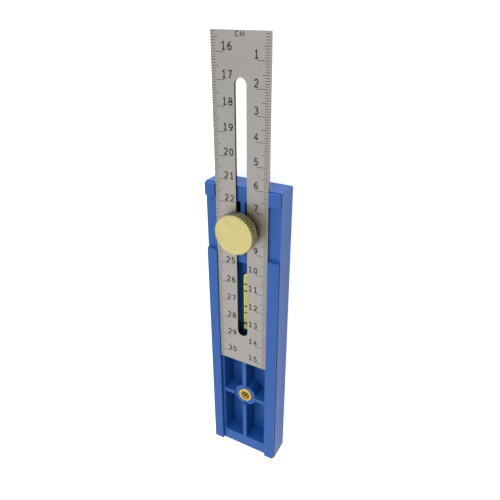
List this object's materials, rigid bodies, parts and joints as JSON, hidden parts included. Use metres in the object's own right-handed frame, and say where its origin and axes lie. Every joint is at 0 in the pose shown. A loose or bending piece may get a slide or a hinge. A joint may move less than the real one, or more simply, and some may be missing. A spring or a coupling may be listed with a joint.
{
  "type": "marking gauge",
  "caption": "Pocket marking gauge: a slotted steel rule slides in a channelled plastic body with a spirit level, held by a brass thumb screw.",
  "frame": {"origin": "on the flat back, under the axis of the upper clamping screw", "axes": "+X across the tool, +Y along it towards the rule's zero end, +Z out of its front"},
  "size_m": [0.0366, 0.2122, 0.0194],
  "materials": {
    "blue_plastic": "fine satin moulded, blue",
    "satin_steel": "satin chrome with etched black scales",
    "brass": "turned brass",
    "knob_brass": "pale turned brass with a straight knurl",
    "vial_acrylic": "acrylic block, yellow-green from its spirit",
    "cap_acrylic": "dull yellow-green cap",
    "line_paint": "black line",
    "bubble": "air bubble"
  },
  "bodies": {
    "stock": {"body": "blue_plastic", "upper_insert": "brass", "lower_insert": "brass", "vial_block": "vial_acrylic", "vial_cap": "cap_acrylic", "vial_line_1": "line_paint", "vial_line_2": "line_paint", "vial_line_3": "line_paint", "vial_line_4": "line_paint"},
    "rule": {"rule": "satin_steel"},
    "washer": {"clamp_washer": "brass"},
    "thumb_screw": {"knob_head": "knob_brass", "knob_stud": "brass"},
    "bubble": {"vial_bubble": "bubble"}
  },
  "joints": [
    {"name": "rule_slide", "type": "slide", "parent": "stock", "child": "rule", "axis": [0, 1, 0], "range_m": [-0.0599, 0.0545]},
    {"name": "screw_lift", "type": "slide", "parent": "stock", "child": "washer", "axis": [0, 0, 1], "range_m": [0, 0.0024]},
    {"name": "screw_turn", "type": "hinge", "parent": "washer", "child": "thumb_screw", "pos_m": [0, 0, 0.0121], "axis": [0, 0, 1], "range_deg": [0, 1080]},
    {"name": "bubble_run", "type": "slide", "parent": "stock", "child": "bubble", "axis": [0, 1, 0], "range_m": [-0.0065, 0.0065]}
  ],
  "couplings": [
    {"joint": "screw_lift", "follows": "screw_turn", "m_per_rad": 0.00012732}
  ]
}
